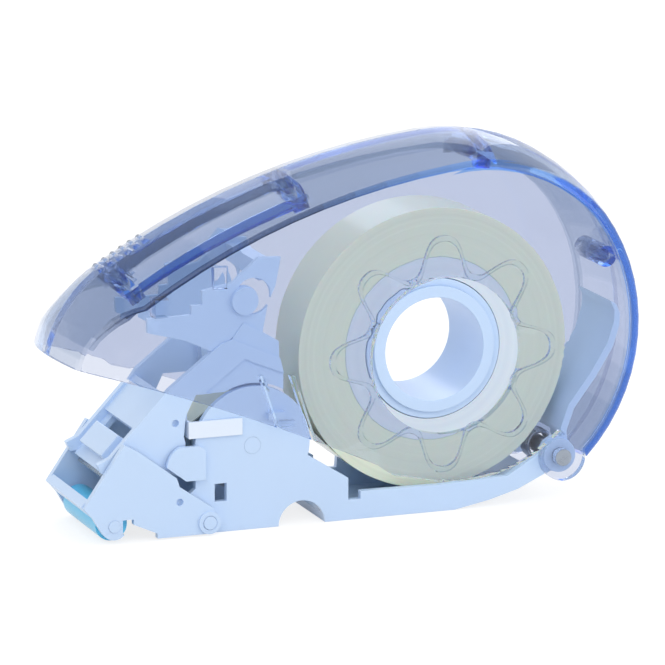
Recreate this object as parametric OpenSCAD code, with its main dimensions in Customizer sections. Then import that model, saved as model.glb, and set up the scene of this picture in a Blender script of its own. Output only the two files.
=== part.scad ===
// Hand-held tape dispenser. A clear press cover tips over a white frame that holds a reel of tape,
// a feed drum, a cutter lever and a press roller on a swing arm.
// Millimetres. +Z is up, the nose points to -X and the removable cover half faces -Y.
// The origin lies on the resting face, straight below the reel axis.

/* [Tape] */
// Width of the tape
tape_w = 12; // [10:0.5:15]
// Outside diameter of the full roll
roll_d = 50.4; // [46:0.2:54]
// Bore of the tape core, the common one inch size
core_bore = 25.4; // [25:0.1:26]
// Wall of the tape core
core_wall = 3.8; // [2:0.1:5]
// Thickness of one layer of tape as it runs to the cutter
tape_t = 0.2; // [0.1:0.05:0.4]

/* [Reel] */
// Gap between the core and the hub that it is pushed on
core_gap = 0.1; // [0.02:0.02:0.2]
// Wall of the reel hub
hub_wall = 1.7; // [1.2:0.1:2.2]
// Wall of the reel post
post_wall = 1.6; // [1.2:0.1:2.2]
// Radial running clearance of turning pieces
run_gap = 0.06; // [0.02:0.02:0.1]
// Height of the roll above the resting face
roll_lift = 3.6; // [3:0.2:6]

/* [Frame] */
// Thickness of the side plates of the frame
plate_t = 1.3; // [1:0.1:2]
// Thickness of the floor of the frame
floor_t = 1.5; // [1:0.1:2.5]
// Sideways gap between neighbouring plates that move
side_gap = 0.3; // [0.2:0.05:0.6]
// Radius of the axle disc on each side plate
disc_r = 10.6; // [9:0.1:10.8]
// Height of the low side rails below the roll
rail_h = 5; // [4:0.2:6]
// Wall of the rear cradle
cradle_t = 1.3; // [1:0.1:2]
// Radius of the arch cut through the floor
arch_r = 4.3; // [2:0.1:5]

/* [Feed drum] */
// Diameter of the feed drum
drum_d = 18; // [14:0.5:20]
// Gap between the full roll and the feed drum
drum_gap = 3.4; // [2:0.1:6]
// Height of the drum axle above the resting face
axle_z = 15; // [14:0.1:17]
// Diameter of the drum axle
axle_d = 3; // [2:0.1:4]
// Thickness of the rubber sleeve
sleeve_t = 1.6; // [1:0.1:2.5]
// Teeth of the ratchet
ratchet_teeth = 18; // [12:1:24]
// Depth of the ratchet teeth
tooth_h = 1; // [0.5:0.1:1.2]

/* [Cutter] */
// Thickness of the lever webs on the axle
web_t = 1.4; // [1:0.1:2]
// Thickness of the blade
blade_t = 0.4; // [0.2:0.1:0.8]
// Pitch of the saw teeth of the blade
saw_pitch = 1; // [0.6:0.1:2]
// Height of the saw teeth of the blade
saw_h = 0.6; // [0.3:0.1:1]
// Width of the raised clamp on the head
clamp_w = 12; // [8:0.5:14]
// Thickness of the flexible return leaves
leaf_t = 0.6; // [0.4:0.1:1]

/* [Roller arm] */
// Diameter of the press roller
roller_d = 5.8; // [4.6:0.1:6]
// Wall of the roller sleeve
roller_wall = 0.9; // [0.5:0.1:1.2]
// Diameter of the roller axle
roller_axle_d = 2.2; // [1.6:0.1:2.4]
// Height of the roller above the resting face
roller_lift = 0.2; // [0.1:0.1:0.6]
// Thickness of the arm plates
arm_t = 1.2; // [0.8:0.1:2]
// Diameter of the arm pins
arm_pin_d = 2.4; // [1.6:0.1:2.8]

/* [Cover] */
// Wall of the cover
cover_t = 1.6; // [1.2:0.1:2]
// Radius of the rounded edge between roof and side wall
edge_r = 2; // [1.9:0.1:3]
// Fall of the crowned roof from the middle to its edges at the rear
rear_fall = 1.7; // [1:0.1:2.4]
// Fall of the crowned roof where the rear curve meets the roof
top_fall = 4.3; // [3:0.1:5]
// Fall of the crowned roof above the cutter
front_fall = 6.2; // [5:0.1:7]
// Radius of the long roof curve
roof_r = 138; // [120:1:160]
// Lean of the top of the roof towards the nose, in degrees
roof_lean = 5.4; // [4:0.2:7]
// Space between the roll and the outside of the rear curve
rear_space = 10.1; // [9:0.1:12]
// Radius of the nose seen from the side
nose_r = 24; // [21:0.5:26]
// Corner radius of the nose seen from above
plan_r = 6; // [4:0.5:8]
// Radius of the window in each side wall at the reel
window_r = 14; // [12.8:0.1:14.2]
// Diameter of the rear pivot pin
pivot_d = 3; // [2:0.1:3.6]
// Radius of the cover's ear around the pivot pin
ear_r = 4.2; // [3.4:0.1:5]
// Diameter of the pegs that join the two halves
peg_d = 2; // [1.4:0.1:2.4]
// Wire of the return spring
wire_d = 0.7; // [0.5:0.1:0.9]
// Turns of the return spring
spring_turns = 4; // [3:1:6]

/* [Hidden] */
$fn = 72;
fit = 0.02;
part_gap = 0.1;
sink = 0.2;

// Places across the width, from the middle outwards
tape_hw = tape_w / 2;
drum_hw = tape_hw + 0.2;
web_in = drum_hw + side_gap;
web_out = web_in + web_t;
plate_in = web_out + side_gap;
plate_out = plate_in + plate_t;
arm_in = plate_out + side_gap;
arm_out = arm_in + arm_t;
cover_in = arm_out + side_gap;
cover_hw = cover_in + cover_t;

// Axes as [x, z] points
roll_r = roll_d / 2;
drum_r = drum_d / 2;
reel_z = roll_r + roll_lift;
reel = [0, reel_z];
axle_span = roll_r + drum_r + drum_gap;
axle_x = -sqrt(pow(axle_span, 2) - pow(reel_z - axle_z, 2));
axle = [axle_x, axle_z];
roller_r = roller_d / 2;
roller = [axle_x - 25.8, roller_r + roller_lift];
arm_pin = [axle_x - 8.5, 2.3];

// Curves of the cover seen from the side
rear_r = roll_r + rear_space;
rear_c = [3.6, reel_z + 3];
rear_end = -45;
roof_c = rear_c + (roof_r - rear_r) * [sin(roof_lean), -cos(roof_lean)];
roof_start = 90 + roof_lean;
roof_end = acos((axle_x - 23.9 - roof_c[0]) / roof_r);
nose_c = polar(roof_c, roof_r - nose_r, roof_end);
nose_x = nose_c[0] - nose_r;
band_d = 12;
low_c = [5.6, reel_z + 5.3];
low_r = roll_r + 5;
low_end = polar(low_c, low_r, 232);
low_start = [nose_x - 2, nose_c[1] + 6.2];
low_bow = 1.3;
pivot = rear_c + [18.7, -23.22];

// Reel tubes
hub_r = core_bore / 2 - core_gap;
post_r = hub_r - hub_wall - run_gap;
post_bore_r = post_r - post_wall;
core_r = core_bore / 2 + core_wall;

// Cutter lever, measured from the axle
head_top = axle + [-15.3, 11.2];
head_low = axle + [-26, -0.1];
head_turn = 180 - atan2(head_top[1] - head_low[1], head_top[0] - head_low[0]);
ring_r = disc_r + 0.5;
beam_in = 1.5;
beam_out = 2.6;
blade_tip = 18.9;
leaf_z = 2.2;
leaf_h = 3;
press_x = axle_x - 17;
press_z = axle_z + 24;
press_gap = 0.3;
boss_h = 0.4;
dimple_r = 0.65;
dimple_d = 0.8;

white = [0.93, 0.95, 0.98];
clear_blue = [0.62, 0.72, 0.95, 0.45];
steel = [0.6, 0.62, 0.66];

// A point at a radius and an angle from a centre
function polar(c, r, a) = c + r * [cos(a), sin(a)];

// A flat side-view shape between two places across the width
module slab(y0, y1) {
    translate([0, y1, 0]) rotate([90, 0, 0]) linear_extrude(y1 - y0) children();
}

// The same slab on both sides
module slabs(y0, y1) {
    slab(y0, y1) children();
    slab(-y1, -y0) children();
}

// A round bar across the width
module bar(c, r, y0, y1) {
    translate([c[0], y1, c[1]]) rotate([90, 0, 0]) cylinder(r = r, h = y1 - y0);
}

// The same bar on both sides
module bars(c, r, y0, y1) {
    bar(c, r, y0, y1);
    bar(c, r, -y1, -y0);
}

// A tube across the width
module tube(c, r_out, r_in, y0, y1) {
    difference() {
        bar(c, r_out, y0, y1);
        bar(c, r_in, y0 - 1, y1 + 1);
    }
}

// A section turned about an axis across the width, from angle a0
module turned(c, a0, sweep) {
    translate([c[0], 0, c[1]]) rotate([90, 0, 0]) rotate([0, 0, a0])
        rotate_extrude(angle = sweep, $fn = 120) children();
}

// A box given by its two corners
module span(low, high) {
    translate(low) cube(high - low);
}

// The head's own frame: x runs down the front slope, z goes into the head
module on_head() {
    translate([head_top[0], 0, head_top[1]]) rotate([0, head_turn, 0]) children();
}

// Frame

module side_plate_shape() {
    rear_top = [13, rail_h + 0.3];
    difference() {
        union() {
            polygon([
                [axle_x - 12.5, 0], [axle_x - 12.5, 6.5], [axle_x - 10.5, 8.2], axle + [-10.5, 1.3],
                axle + [4, 1.3], axle + [17.8, -7.4], [axle_x + 17.8, 3.6], [axle_x + 20.1, 3.6],
                [axle_x + 20.1, rail_h], [0, rail_h - 0.2], rear_top, pivot + [-2, 1],
                pivot + [-1, -3], [15, 2.7], [9.5, 1.2], [3, 0]
            ]);
            translate(axle) circle(disc_r);
            translate(pivot) circle(3.2);
        }
        translate([axle_x + 9.1, 0]) circle(arch_r);
    }
}

module reel_upright_shape() {
    difference() {
        union() {
            translate(reel) circle(post_r + 2.6);
            polygon([[-13, 2], [13, 2], [post_r, reel_z], [-post_r, reel_z]]);
        }
        translate(reel) circle(post_r + fit);
    }
}

// Rounded lug that covers the lever's lower corner, between two places along the length
module lug_shape(x0, x1) {
    intersection() {
        translate(axle + [-12, -2.7]) circle(4.1);
        polygon([
            axle + [-17, -1.7], axle + [-12.6, -5.1], axle + [-8.5, -5.1], axle + [-8.5, 1],
            axle + [-17, 1]
        ]);
        translate([x0, 0]) square([x1 - x0, 40]);
    }
}

// Curved wall behind the roll, flared towards the cover at its top
module cradle_wall() {
    line = [
        [2.2, 1.5], [1.9, 4], [3.3, 8], [7.5, 13.5], [10.7, 18.7], [11.9, 22.5], [12, 24.6], [11.2, 26.4]
    ];
    across = cradle_t * [-0.85, 0.5];
    difference() {
        slab(-plate_out, tape_hw - 1) translate(pivot)
            polygon(concat(line, [for (i = [len(line) - 1:-1:0]) line[i] + across]));
        bar(pivot, 3.6, -4.5, tape_hw);
    }
}

module base_frame() {
    color(white) difference() {
        union() {
            span([axle_x - 12.5, -plate_out, 0], [3, plate_out, floor_t]);
            slab(-plate_out, plate_out) polygon([
                [2.5, 0], [9.5, 1.2], [15, 2.7], pivot + [-3.4, -3.4], pivot + [-4.4, -2.2], [14.5, 4.2],
                [9, 2.7], [2.5, floor_t]
            ]);
            slabs(plate_in, plate_out) side_plate_shape();
            slab(plate_in, plate_out) reel_upright_shape();
            cradle_wall();
            bars(pivot, 3, plate_out - sink, arm_out);
            slabs(plate_out - sink, arm_in + 1) translate(axle + [2.5, 4.6]) square([3, 1.2]);
            slabs(arm_in, arm_in + 0.9) lug_shape(axle_x - 17, axle_x - 9);
            slabs(plate_out - sink, arm_in + 0.9) lug_shape(axle_x - 10.4, axle_x - 9);
            span([axle_x - 12, -drum_hw, floor_t - sink], [axle_x - 9.5, 0, floor_t + 1]);
        }
        bar([axle_x + 9.1, 0], arch_r, -plate_out - 1, plate_out + 1);
        slab(-plate_out - 1, 0) translate([axle_x - 7, 5.5]) square([2.2, 3.2]);
        bar(axle, axle_d / 2 + fit, -plate_out - 1, plate_out + 1);
        bar(arm_pin, arm_pin_d / 2 + fit, -plate_out - 1, plate_out + 1);
        bar(pivot, pivot_d / 2 + fit, -cover_hw, cover_hw);
    }
}

module reel_post() {
    flange_in = drum_hw + side_gap;
    color(white) difference() {
        union() {
            bar(reel, post_r, -drum_hw - 0.8, plate_out);
            bar(reel, post_r + 1.6, flange_in, plate_in);
            bar(reel, post_r + 0.5, -drum_hw - 0.8, -drum_hw - 0.1);
        }
        bar(reel, post_bore_r, -cover_hw, cover_hw);
    }
}

module drum_axle() {
    color(steel) bar(axle, axle_d / 2, -plate_out, plate_out);
}

module return_leaves() {
    far_x = 2;
    near_x = 11.9;
    color(white) translate([axle_x - near_x, 0, axle_z + leaf_z]) {
        slabs(plate_out, plate_out + leaf_t) square([near_x - far_x, leaf_h]);
        slabs(web_in, plate_out + leaf_t) square([leaf_t, leaf_h]);
    }
}

module pawl() {
    root_x = axle_x - 9.5;
    tip = polar(axle, drum_r + tooth_h - sleeve_t + 0.3, 226);
    color(white) slab(-drum_hw, -drum_hw + 1) polygon([
        [root_x, floor_t], [root_x + 2, floor_t], [root_x + 2, floor_t + 2], tip + [0.9, -0.9], tip,
        [root_x, floor_t + 2.6]
    ]);
}

module cover_pivot_pin() {
    color(steel) bar(pivot, pivot_d / 2, -cover_hw, cover_hw);
}

module arm_pins() {
    color(white) bars(arm_pin, arm_pin_d / 2, plate_in, arm_out + 0.6);
}

// One ring of the spring wire, seen along the wire
function wire_ring(c, a) = [
    for (i = [0:7]) let (r = c[0] + wire_d / 2 * cos(45 * i))
    [pivot[0] + r * cos(a), c[1] + wire_d / 2 * sin(45 * i), pivot[1] + r * sin(a)]
];

module cover_spring() {
    coil_r = pivot_d / 2 + 0.9;
    half_l = spring_turns * wire_d * 0.65;
    steps = 16 * spring_turns;
    rings = [
        for (i = [0:steps]) let (t = i / steps)
        wire_ring([coil_r, -half_l + 2 * half_l * t], 60 + 360 * spring_turns * t)
    ];
    last = len(rings) - 1;
    side_faces = [
        for (i = [0:last - 1]) for (j = [0:7]) let (k = (j + 1) % 8)
        [8 * i + j, 8 * i + k, 8 * i + 8 + k, 8 * i + 8 + j]
    ];
    ends = [[for (j = [7:-1:0]) j], [for (j = [0:7]) 8 * last + j]];
    points = [for (g = rings) each g];
    color(steel) polyhedron(points = points, faces = concat(side_faces, ends), convexity = 8);
}

// The tape leaves the roll, passes between roll and drum, runs over the drum and ends at the cutter
module tape_lead() {
    lead_r = drum_r + 0.05;
    over_r = lead_r + tape_t;
    tape_end = axle + [-22.8, -5];
    line_a = atan2(axle[1] - reel[1], axle[0] - reel[0]);
    open_a = acos((roll_r + over_r) / axle_span);
    off_roll = polar(reel, roll_r + 0.05, line_a + open_a);
    on_drum_a = line_a + open_a + 180;
    reach = norm(tape_end - axle);
    off_drum_a = atan2(tape_end[1] - axle[1], tape_end[0] - axle[0]) - acos(lead_r / reach) + 360;
    away = [cos(on_drum_a), sin(on_drum_a)];
    end_away = [cos(off_drum_a), sin(off_drum_a)];
    bend = [for (i = [0:16]) on_drum_a + (off_drum_a - on_drum_a) * i / 16];
    color([0.9, 0.89, 0.74]) slab(-tape_hw, tape_hw) polygon(concat(
        [off_roll - tape_t * away, off_roll],
        [for (a = bend) polar(axle, over_r, a)],
        [tape_end + tape_t * end_away, tape_end],
        [for (i = [16:-1:0]) polar(axle, lead_r, bend[i])]
    ));
}

// Cover

// Half width of the cover at a place along its length, with the nose rounded in plan
function plan_y(x, y, inset) = let (past = max(0, nose_x + plan_r - x), r = plan_r - inset)
    min(y, cover_hw - plan_r + (past > 0 ? sqrt(max(0, r * r - past * past)) : r));

// Section of the shell as [depth, half width] pairs from the parting line down the wall.
// The crowned roof falls to its rounded edge, and the wall hangs from there.
function shell_edge(fall, inset) =
    let (tilt = atan(2 * fall / cover_hw), flat = cover_hw - edge_r * (1 - sin(tilt)), e = edge_r - inset)
    concat(
        [for (y = [part_gap / 2, 0.35 * flat, 0.7 * flat]) let (lean = atan(2 * fall * y / flat / flat))
            [fall * y * y / flat / flat + inset * cos(lean), max(part_gap / 2, y - inset * sin(lean))]],
        [for (t = [0, 0.3, 0.65, 1]) let (a = tilt + (90 - tilt) * t)
            [fall + edge_r * cos(tilt) - e * cos(a), cover_hw - edge_r + e * sin(a)]],
        [for (t = [0.3, 0.6, 0.8, 1]) let (mid = fall + edge_r * cos(tilt))
            [mid + t * (band_d - mid), cover_hw - inset]]
    );

// One row of the shell's points at a station given as [centre, radius, angle, fall]
function shell_row(st, inset) = [
    for (q = shell_edge(st[3], inset)) let (p = polar(st[0], st[1] - q[0], st[2]))
    [p[0], -plan_y(p[0], q[1], inset), p[1]]
];

// Stations over the rear, the roof and the nose
shell_stations = concat(
    [for (i = [0:24]) let (a = rear_end + (roof_start - rear_end) * i / 24) [rear_c, rear_r, a, rear_curve_fall(a)]],
    [for (i = [1:10]) let (a = roof_start + (roof_end - roof_start) * i / 10)
        [roof_c, roof_r, a, roof_fall(a)]],
    [for (i = [1:9]) let (t = i / 9)
        [nose_c, nose_r, roof_end + (174 - roof_end) * t, front_fall - 4.4 * min(1, 1.6 * t)]]
);

// Roof and upper walls of one half as a swept shell
module shell_band() {
    rows = [
        for (st = shell_stations) let (inner = shell_row(st, cover_t))
        concat(shell_row(st, 0), [for (i = [10:-1:0]) inner[i]])
    ];
    last = len(rows) - 1;
    sides = [
        for (i = [0:last - 1]) for (j = [0:21]) let (k = (j + 1) % 22)
        each [[22 * i + j, 22 * i + k, 22 * i + 22 + k], [22 * i + j, 22 * i + 22 + k, 22 * i + 22 + j]]
    ];
    first_cap = [for (j = [0:9]) each [[j, 20 - j, j + 1], [j, 21 - j, 20 - j]]];
    last_cap = [for (f = first_cap) [22 * last + f[0], 22 * last + f[2], 22 * last + f[1]]];
    points = [for (r = rows) each r];
    polyhedron(points = points, faces = concat(sides, first_cap, last_cap), convexity = 10);
}

// Flat part of the side wall, inside the swept band
module wall_shape() {
    inset = band_d - 2.4;
    ray = polar([0, 0], 1, roof_end);
    translate(rear_c) circle(rear_r - inset);
    translate(nose_c) circle(nose_r - inset - 1.2);
    intersection() {
        translate(roof_c) circle(roof_r - inset);
        polygon([
            nose_c - (nose_r - inset) * ray, nose_c, nose_c + 20 * ray, rear_c + [-2, rear_r], rear_c,
            rear_c + [-4, inset - rear_r]
        ]);
    }
}

// Everything below the cover's lower edge, seen from the side
module below_edge() {
    run = low_end - low_start;
    away = [-run[1], run[0]] / norm(run);
    difference() {
        polygon([
            [low_start[0] - 30, -20], [low_start[0] - 30, low_start[1]],
            for (i = [0:10]) let (t = i / 10) low_start + run * t + away * 4 * low_bow * t * (1 - t),
            [pivot[0], low_end[1]], [pivot[0], -20]
        ]);
        translate(low_c) circle(low_r);
    }
}

// Scalloped outline around the reel window, with eight round lobes
module scallops(grow) {
    polygon([
        for (a = [0:2:358]) let (wave = (cos(8 * a) - 0.08 * cos(24 * a)) / 0.92)
        polar(reel, window_r + 3.6 + grow + 3.1 * wave, a)
    ]);
}

// Axes of the four peg joints under the roof
peg_depth = cover_t + 1.9;
block_d = 3.6;
front_peg = roof_end - 0.2;
mid_peg = acos((axle_x + 8 - roof_c[0]) / roof_r);
top_peg = 80.5;
rear_peg = 20;
peg_places = [
    polar(roof_c, roof_r - peg_depth, front_peg),
    polar(roof_c, roof_r - peg_depth, mid_peg),
    polar(rear_c, rear_r - peg_depth, top_peg),
    polar(rear_c, rear_r - peg_depth, rear_peg)
];

// Fall of the crowned roof's edge at an angle on the roof curve and on the rear curve
function roof_fall(a) = top_fall + (front_fall - top_fall) * (a - roof_start) / (roof_end - roof_start);
function rear_curve_fall(a) = rear_fall + (top_fall - rear_fall) * max(0, a - 40) / (roof_start - 40);

// Block under the roof at a peg, from the parting line to near the side wall
module roof_block(c, r, a, fall) {
    reach = [-1, 2.6, 5.2, plate_in - 0.4];
    turn = 1.5 / r * 180 / PI;
    top = [for (y = reach) r - cover_t * 0.6 - fall * pow(y / cover_hw, 2)];
    turned(c, a - turn, 2 * turn) polygon(concat(
        [for (i = [0:3]) [top[i], reach[i]]],
        [for (i = [3:-1:0]) [top[i] - block_d, reach[i]]]
    ));
}

// What both halves share, drawn on the -Y side
module half_shell() {
    slits = [axle + [0.2, 13], axle + [5.8, 12.6]];
    difference() {
        union() {
            difference() {
                union() {
                    shell_band();
                    slab(0.02 - cover_hw, -0.02 - cover_in) wall_shape();
                }
                slab(-cover_hw - 1, cover_hw + 1) below_edge();
                span([pivot[0] - 60, -cover_in, -20], [pivot[0] + 4.2, cover_in, pivot[1] + 3]);
            }
            bar(pivot, ear_r, -cover_hw, -cover_in);
            translate([press_x, 0, press_z])
                span([-1.2, -cover_in - sink, press_gap], [1.2, -plate_in, 3.4]);
            for (p = peg_places) bar(p, peg_d / 2 + 0.9, -5, -part_gap / 2);
            roof_block(roof_c, roof_r, front_peg, front_fall);
            roof_block(roof_c, roof_r, mid_peg, roof_fall(mid_peg));
            roof_block(rear_c, rear_r, top_peg, rear_curve_fall(top_peg));
            turned(roof_c, mid_peg, front_peg - mid_peg) translate([roof_r - cover_t, 0]) polygon([
                [-4.4, 4.6], [-4.4, plate_in - 0.7], [-1.2, plate_in - 0.7], [-0.6, 4.6]
            ]);
            for (i = [0:5])
                bar(polar(roof_c, roof_r - 0.5, roof_end + 0.4 - 0.75 * i), 0.6, -2.4, -part_gap / 2);
            translate([axle_x, 0, axle_z])
                span([4.2, -cover_in - sink, 3.3], [7.2, -arm_in - side_gap, 4.3]);
        }
        bar(reel, window_r, -cover_hw - 1, -cover_in + 1);
        bar(pivot, pivot_d / 2 + run_gap, -cover_hw - 1, -cover_in + 1);
        for (p = slits) slab(-cover_hw - 1, -cover_in + 0.1)
            polygon([p, p + [0.8, 0], p + [4.8, -12], p + [4, -12]]);
        span([-200, -part_gap / 2, -50], [200, 50, 150]);
    }
}

module cover_near() {
    clip = axle + [-7.6, 28.6];
    color(clear_blue) difference() {
        union() {
            half_shell();
            slab(-cover_in - sink, -cover_in + 0.7) difference() {
                scallops(0.5);
                scallops(-0.5);
            }
            span([clip[0], -cover_in - sink, clip[1]], [clip[0] + 2.6, -cover_in + 1.2, clip[1] + 3.8]);
        }
        for (p = peg_places) bar(p, peg_d / 2 + run_gap, -4.2, 1);
    }
}

module cover_far() {
    color(clear_blue) {
        mirror([0, 1, 0]) half_shell();
        for (p = peg_places) bar(p, peg_d / 2, -3.8, 1);
    }
}

// Cutter lever

module lever_plate_shape() {
    difference() {
        polygon([
            head_top, head_low, head_low + [-2.3, -1], head_low + [-1.6, -2.6], axle + [-17, -2.5],
            axle + [-15.4, -3.6], axle + [-12.6, -4.8], axle + [-12.3, 1.5], axle + [-12.6, 2.6],
            axle + [-12.2, 6.2], axle + [-10.4, 9.9], axle + [0, 9.9], axle + [5.8, 6],
            axle + [5.8, 12.4], axle + [5.1, 15.2], axle + [-3.6, 19.2], axle + [-5.8, 18.5]
        ]);
        translate(axle) circle(ring_r);
    }
}

module lever_tower_shape() {
    difference() {
        polygon([
            axle + [-19, 21.4], axle + [-19, 24], axle + [-11, 24], axle + [-11, 25.6], axle + [-9, 25.6],
            axle + [-9, 28], axle + [-3.5, 29.2], axle + [1.3, 33.2], axle + [5.4, 33], axle + [4.4, 28],
            axle + [3, 25], axle + [2, 20], axle + [-2, 20.5], axle + [-7, 17], axle + [-12, 19.5]
        ]);
        difference() {
            translate(axle + [0.3, 26.5]) circle(3.2);
            translate(axle + [-1.4, 25.8]) circle(2.6);
        }
    }
}

module cutter_lever() {
    web = [axle + [-2, 0], axle + [2, 0], axle + [4, 15], axle + [-4, 15]];
    color(white) {
        difference() {
            union() {
                slabs(plate_in, plate_out) lever_plate_shape();
                slabs(plate_in, plate_out - boss_h) lever_tower_shape();
                slabs(plate_in, plate_out - boss_h / 2) polygon([
                    axle + [-1.6, 21.9], axle + [-3.8, 19], axle + [5, 15], axle + [4.9, 18.2],
                    axle + [2, 20]
                ]);
                slabs(web_in, web_out) union() {
                    polygon(web);
                    translate(axle) circle(4);
                }
                slabs(web_out - sink, plate_in + sink) polygon([
                    axle + [-4, 12], axle + [4, 12], axle + [4, 15], axle + [-4, 15]
                ]);
                slab(-plate_in - sink, plate_in + sink) translate(axle + [1.5, 29]) square([3, 3.2]);
                slabs(web_in, plate_in + sink) translate(axle + [-13.2, leaf_z + leaf_h + 0.2])
                    square([1.6, 1.2]);
                bars(axle + [-1.4, 25.8], 2.4, plate_out - boss_h - sink, plate_out + boss_h);
                on_head() {
                    span([1, -plate_in - sink, 0.5], [9, plate_in + sink, 1.9]);
                    span([8.5, -plate_in - sink, beam_in], [18.3, plate_in + sink, beam_out]);
                }
            }
            bar(axle, axle_d / 2 + run_gap, -plate_out - 1, plate_out + 1);
            bars(axle + [-14.1, 5.1], dimple_r, plate_out - dimple_d, plate_out + 1);
            slabs(plate_out - boss_h, plate_out + 1) polygon([
                axle + [-1.4, 15.6], axle + [0.3, 14.7], axle + [6.5, 12.2], axle + [6.5, 5],
                axle + [0, 8], axle + [-8.6, 10.2]
            ]);
            on_head() span([9.1, -5, 0], [11.3, 6, beam_out + 1]);
        }
    }
}

module blade_clamp() {
    color(white) on_head() span([11.5, -clamp_w / 2, -0.3], [16.2, clamp_w / 2, beam_in]);
}

module blade() {
    hw = plate_in - 0.1;
    teeth = floor(2 * hw / saw_pitch);
    edge = [
        for (i = [0:teeth - 1]) let (y = -teeth * saw_pitch / 2 + i * saw_pitch)
        each [[blade_tip - saw_h, y], [blade_tip, y + saw_pitch / 2]]
    ];
    color(steel) on_head() translate([0, 0, beam_out]) linear_extrude(blade_t) polygon(
        concat([[12, hw], [12, -hw], [blade_tip - saw_h, -hw]], edge, [[blade_tip - saw_h, hw]])
    );
}

// Roller arm

module arm_shape() {
    polygon([
        arm_pin + [1, 2.3], arm_pin + [-5.4, 6.8], arm_pin + [-5.9, 8.4], arm_pin + [-12.9, 13.7],
        arm_pin + [-15.4, 15.1], arm_pin + [-22.8, 4.4], roller + [-3.8, 1.6], roller + [-2.2, -1.2],
        roller + [2, -0.6], arm_pin + [-14.6, 1.2], arm_pin + [-9.5, -1.1], arm_pin + [-9.5, -2],
        arm_pin + [0, -2]
    ]);
    translate(arm_pin) circle(2);
    translate(roller) circle(2.4);
}

module roller_arm() {
    color(white) difference() {
        union() {
            slabs(arm_in, arm_out) arm_shape();
            bars(arm_pin, 2, arm_out - sink, arm_out + boss_h);
            slab(-arm_in - sink, arm_in + sink) polygon([
                roller + [-5.8, 3.8], roller + [-4.4, 4.9], roller + [-3.5, 3.4], roller + [-4, 1.8]
            ]);
        }
        slabs(arm_in - 1, arm_out + 1) translate(roller + [1.5, -1.6]) square([2, 2.6]);
        bars(arm_pin + [-5.4, 4.1], dimple_r, arm_out - dimple_d, arm_out + 1);
        bar(arm_pin, arm_pin_d / 2 + run_gap, -cover_hw, cover_hw);
        bar(roller, roller_axle_d / 2 + fit, -cover_hw, cover_hw);
    }
}

module roller_axle() {
    color(white) bar(roller, roller_axle_d / 2, -arm_out - 0.2, arm_out + 0.2);
}

module roller_core() {
    hw = arm_in - side_gap;
    color(white) tube(roller, roller_r - roller_wall, roller_axle_d / 2 + run_gap, -hw, hw);
}

module roller_sleeve() {
    hw = arm_in - side_gap - 0.4;
    color([0.3, 0.66, 0.88]) tube(roller, roller_r, roller_r - roller_wall, -hw, hw);
}

// Feed drum and reel

module feed_drum() {
    r = drum_r - sleeve_t;
    step = 360 / ratchet_teeth;
    color(white) difference() {
        union() {
            bar(axle, r, -drum_hw, drum_hw);
            slab(-drum_hw, -drum_hw + 1) polygon([
                for (i = [0:ratchet_teeth - 1])
                each [polar(axle, r - 0.3, i * step), polar(axle, r + tooth_h, i * step + 0.9 * step)]
            ]);
        }
        bar(axle, axle_d / 2 + run_gap, -plate_out, plate_out);
    }
}

module drum_sleeve() {
    near = -drum_hw + 1.2;
    grooves = 3;
    gap = (drum_hw - near) / (grooves + 1);
    color([0.75, 0.8, 0.86]) difference() {
        tube(axle, drum_r, drum_r - sleeve_t, near, drum_hw);
        for (i = [1:grooves]) let (y = near + i * gap)
            tube(axle, drum_r + 1, drum_r - 0.4, y - 0.4, y + 0.4);
    }
}

module reel_hub() {
    color(white) tube(reel, hub_r, post_r + run_gap, -drum_hw, drum_hw);
}

module tape_core() {
    color([0.9, 0.93, 0.95]) tube(reel, core_r, core_bore / 2, -tape_hw, tape_hw);
}

module tape_roll() {
    color([0.86, 0.86, 0.72]) tube(reel, roll_r, core_r, -tape_hw, tape_hw);
}

base_frame();
reel_post();
drum_axle();
return_leaves();
pawl();
cover_pivot_pin();
arm_pins();
cover_spring();
tape_lead();
cover_far();
cover_near();
cutter_lever();
blade_clamp();
blade();
roller_arm();
roller_axle();
roller_core();
roller_sleeve();
feed_drum();
drum_sleeve();
reel_hub();
tape_core();
tape_roll();
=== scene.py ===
"""Hand-held tape dispenser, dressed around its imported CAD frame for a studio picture."""

import logging
import math
from dataclasses import dataclass, field
from enum import Enum
from typing import ClassVar

import bmesh
import bpy
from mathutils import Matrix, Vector
from mathutils.bvhtree import BVHTree


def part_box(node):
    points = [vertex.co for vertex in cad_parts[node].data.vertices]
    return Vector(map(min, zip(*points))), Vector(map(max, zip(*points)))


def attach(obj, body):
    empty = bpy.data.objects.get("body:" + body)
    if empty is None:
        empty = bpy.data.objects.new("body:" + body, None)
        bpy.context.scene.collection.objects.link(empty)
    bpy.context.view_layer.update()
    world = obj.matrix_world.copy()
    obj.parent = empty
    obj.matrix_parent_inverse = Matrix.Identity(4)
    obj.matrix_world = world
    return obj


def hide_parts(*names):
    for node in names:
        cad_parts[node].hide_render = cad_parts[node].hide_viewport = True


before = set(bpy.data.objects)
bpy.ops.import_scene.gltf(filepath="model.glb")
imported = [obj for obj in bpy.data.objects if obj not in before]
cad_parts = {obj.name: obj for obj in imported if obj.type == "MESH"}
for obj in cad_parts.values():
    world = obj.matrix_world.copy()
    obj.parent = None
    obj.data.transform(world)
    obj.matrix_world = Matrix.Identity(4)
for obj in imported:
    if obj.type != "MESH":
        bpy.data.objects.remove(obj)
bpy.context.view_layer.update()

MM = 0.001
log = logging.getLogger("tape_dispenser")

Colour = tuple[float, float, float]
WHITE: Colour = (1.0, 1.0, 1.0)


class Body(Enum):
    """Moving bodies of the dispenser."""

    BASE = "base"
    PRESS_COVER = "press_cover"
    NEAR_HALF = "near_half"
    CUTTER = "cutter"
    ARM = "arm"
    PRESS_ROLLER = "press_roller"
    DRUM = "drum"
    REEL = "reel"


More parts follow.
